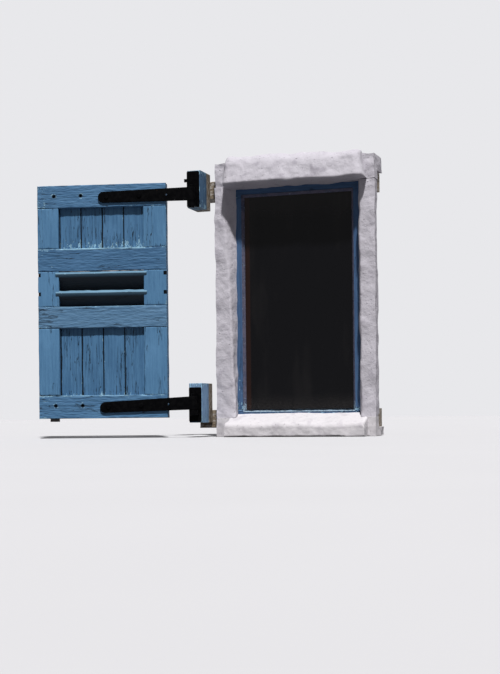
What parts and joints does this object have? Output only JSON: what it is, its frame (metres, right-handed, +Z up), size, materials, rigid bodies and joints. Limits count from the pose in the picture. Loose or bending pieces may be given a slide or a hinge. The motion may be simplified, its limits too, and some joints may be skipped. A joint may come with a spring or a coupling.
{
  "type": "window with shutters",
  "caption": "Small fixed timber window in a plastered surround with sill and hood, and a ledged and boarded shutter with louvre slats on strap hinges.",
  "frame": {"origin": "underside of the sill, in the plane of the wall's face, midway across the window opening", "axes": "+X to the right along the wall as seen from outside, +Y into the wall, +Z up"},
  "size_m": [1.0703, 0.4595, 0.899],
  "materials": {
    "shutter_paint": "chalky blue paint, worn at edges",
    "block_paint": "blue paint over timber",
    "frame_paint": "blue paint, flaking",
    "lining_wood": "dark brown",
    "raw_wood": "raw",
    "dark_wood": "dark, weathered",
    "black_iron": "black, satin",
    "iron": "dark, dull",
    "putty": "painted putty",
    "plaster": "lumpy white plaster",
    "glass": "dark, dull"
  },
  "bodies": {
    "window": {"block_bolts": "iron", "frame_bottom": "frame_paint", "frame_head": "frame_paint", "frame_pegs": "raw_wood", "glass_pane": "glass", "glazing_putty": "putty", "hinge_block_lower": "block_paint", "hinge_block_upper": "block_paint", "hinge_pin_lower": "black_iron", "hinge_pin_upper": "black_iron", "hinge_plate_lower": "black_iron", "hinge_plate_upper": "black_iron", "hood": "plaster", "jamb_left": "frame_paint", "jamb_right": "frame_paint", "lining_head": "lining_wood", "lining_left": "lining_wood", "lining_right": "lining_wood", "plate_screws": "iron", "reveal_left": "plaster", "reveal_right": "plaster", "sill": "plaster", "window_board": "lining_wood"},
    "shutter": {"board_1": "shutter_paint", "board_2_low": "shutter_paint", "board_2_top": "shutter_paint", "board_3_low": "shutter_paint", "board_3_top": "shutter_paint", "board_4_low": "shutter_paint", "board_4_top": "shutter_paint", "board_5_low": "shutter_paint", "board_5_top": "shutter_paint", "board_6": "shutter_paint", "bottom_rail": "shutter_paint", "lower_mid_rail": "shutter_paint", "nails": "iron", "slat_1": "shutter_paint", "slat_2": "shutter_paint", "stile_free_low": "shutter_paint", "stile_free_mid": "shutter_paint", "stile_free_top": "shutter_paint", "stile_hinge_low": "shutter_paint", "stile_hinge_mid": "shutter_paint", "stile_hinge_top": "shutter_paint", "stop_block": "dark_wood", "strap_bolts": "black_iron", "strap_lower": "black_iron", "strap_upper": "black_iron", "top_rail": "shutter_paint", "upper_mid_rail": "shutter_paint"}
  },
  "joints": [
    {"name": "shutter_swing", "type": "hinge", "parent": "window", "child": "shutter", "pos_m": [-0.313, -0.07998, 0.43], "axis": [0, 0, 1], "range_deg": [-12, 168]}
  ]
}
